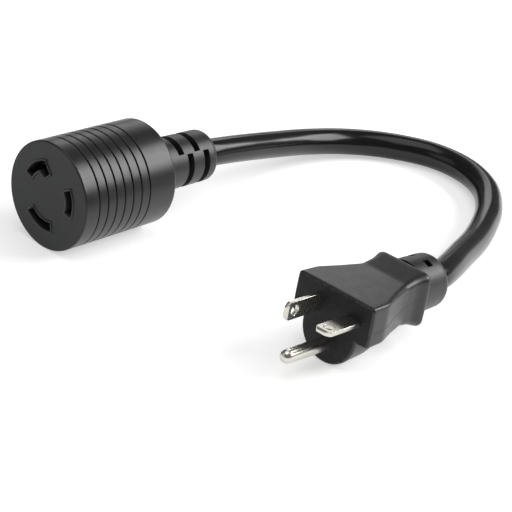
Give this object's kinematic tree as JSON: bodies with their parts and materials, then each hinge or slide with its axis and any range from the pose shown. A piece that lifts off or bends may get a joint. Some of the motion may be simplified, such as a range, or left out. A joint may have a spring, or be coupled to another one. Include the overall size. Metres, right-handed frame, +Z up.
{
  "type": "power adapter dogbone",
  "caption": "Short power adapter lead: straight-blade plug with a T-set neutral blade, heavy three-core cord and round ribbed locking connector, both ends moulded on.",
  "frame": {"origin": "on the surface that the lead lies on, in the middle of the footprint of its two ends", "axes": "+Z up; -Y is the way that the plug's blades and the connector's face point; +X runs from the connector to the plug"},
  "size_m": [0.1423, 0.1792, 0.0382],
  "materials": {
    "housing_pvc": "satin charcoal PVC",
    "face_pvc": "flat dark grey PVC",
    "insulator": "matt natural PVC",
    "cord_pvc": "glossy black PVC",
    "green_pvc": "semi-gloss green PVC",
    "white_pvc": "semi-gloss white PVC",
    "black_pvc": "semi-gloss black PVC",
    "nickel": "nickel plate, polished",
    "brass": "bare stamped brass",
    "copper": "bare copper strands"
  },
  "bodies": {
    "root": {"connector_housing": "housing_pvc", "connector_strain_relief": "housing_pvc", "contact_block": "face_pvc", "contact_carrier": "insulator", "connector_ground_contact": "brass", "connector_neutral_contact": "brass", "connector_hot_contact": "brass", "cord_jacket": "cord_pvc", "ground_wire_insulation": "green_pvc", "neutral_wire_insulation": "white_pvc", "hot_wire_insulation": "black_pvc", "ground_wire_copper": "copper", "neutral_wire_copper": "copper", "hot_wire_copper": "copper", "plug_body": "housing_pvc", "plug_strain_relief": "housing_pvc", "plug_bridge": "insulator", "hot_blade": "nickel", "neutral_blade": "nickel", "ground_pin": "nickel", "hot_blade_crimp": "brass", "neutral_blade_crimp": "brass", "ground_pin_crimp": "brass"}
  },
  "joints": []
}
